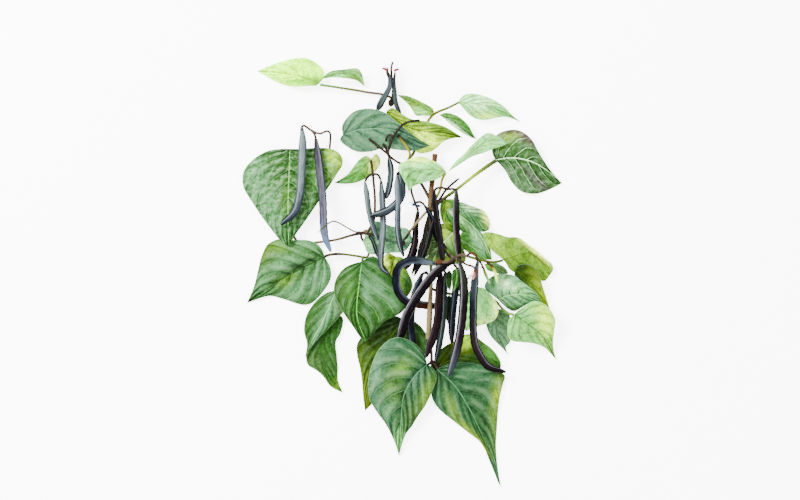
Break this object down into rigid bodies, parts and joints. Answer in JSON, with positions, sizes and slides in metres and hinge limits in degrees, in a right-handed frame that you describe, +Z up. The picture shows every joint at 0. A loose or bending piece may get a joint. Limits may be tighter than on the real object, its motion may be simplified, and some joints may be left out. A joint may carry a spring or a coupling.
{
  "type": "leafy spray of climbing beans",
  "caption": "Cut leafy spray of a climbing bean lying flat, with a woody stem, heart-shaped pointed leaflets and hanging clusters of slim dark purple and slate pods.",
  "frame": {"origin": "centre of the spray's bounding box in plan, at the surface it lies on", "axes": "+Z up from the surface; +Y along the stem towards its cut top; +X to the right as seen from above"},
  "size_m": [0.3196, 0.429, 0.0413],
  "materials": {
    "stem": "matte",
    "leaf_green": "satin",
    "leaf_mint": "satin",
    "leaf_lime": "satin",
    "leaf_teal": "satin",
    "leaf_olive": "satin",
    "leaf_dark": "satin",
    "pod_slate": "satin",
    "pod_black": "satin",
    "pod_navy": "satin",
    "pod_maroon": "satin"
  },
  "bodies": {
    "root": {"vine_stem": "stem", "leaflet_top_left": "leaf_lime", "leaflet_top_folded": "leaf_mint", "leaflet_upper_teal": "leaf_teal", "leaflet_upper_lime": "leaf_lime", "leaflet_top_young": "leaf_mint", "leaflet_top_narrow": "leaf_green", "leaflet_top_right": "leaf_mint", "leaflet_right_folded": "leaf_mint", "leaflet_right_purple": "leaf_dark", "leaflet_centre_mint": "leaf_mint", "leaflet_left_small": "leaf_green", "leaflet_left_large": "leaf_green", "leaflet_left_mid": "leaf_green", "leaflet_centre_large": "leaf_green", "leaflet_centre_lime": "leaf_lime", "leaflet_lower_left_front": "leaf_green", "leaflet_lower_left_back": "leaf_dark", "leaflet_lower_olive": "leaf_olive", "leaflet_bottom_teal": "leaf_teal", "leaflet_bottom_right": "leaf_green", "leaflet_bottom_back": "leaf_olive", "leaflet_right_mint": "leaf_mint", "leaflet_right_striped": "leaf_mint", "leaflet_right_olive": "leaf_olive", "leaflet_right_green": "leaf_green", "leaflet_centre_olive": "leaf_lime", "leaflet_right_lime": "leaf_lime", "leaflet_right_dark": "leaf_olive", "leaflet_right_teal": "leaf_teal", "leaflet_right_pale": "leaf_lime", "leaflet_right_round": "leaf_mint", "leaflet_right_hanging": "leaf_teal", "leaflet_right_tiny": "leaf_green", "leaflet_centre_teal": "leaf_teal", "pod_left_a": "pod_slate", "pod_left_b": "pod_slate", "pod_top_a": "pod_slate", "pod_top_b": "pod_slate", "pod_upper_a": "pod_slate", "pod_upper_b": "pod_slate", "pod_upper_c": "pod_slate", "pod_upper_d": "pod_slate", "pod_upper_e": "pod_slate", "pod_upper_f": "pod_black", "pod_dark_a": "pod_maroon", "pod_dark_b": "pod_maroon", "pod_dark_c": "pod_black", "pod_dark_d": "pod_black", "pod_dark_e": "pod_black", "pod_navy_a": "pod_navy", "pod_looped": "pod_navy", "pod_front_a": "pod_navy", "pod_front_b": "pod_black", "pod_front_c": "pod_maroon", "pod_front_d": "pod_slate", "pod_front_e": "pod_navy", "pod_front_f": "pod_black", "pod_front_g": "pod_black"}
  },
  "joints": []
}
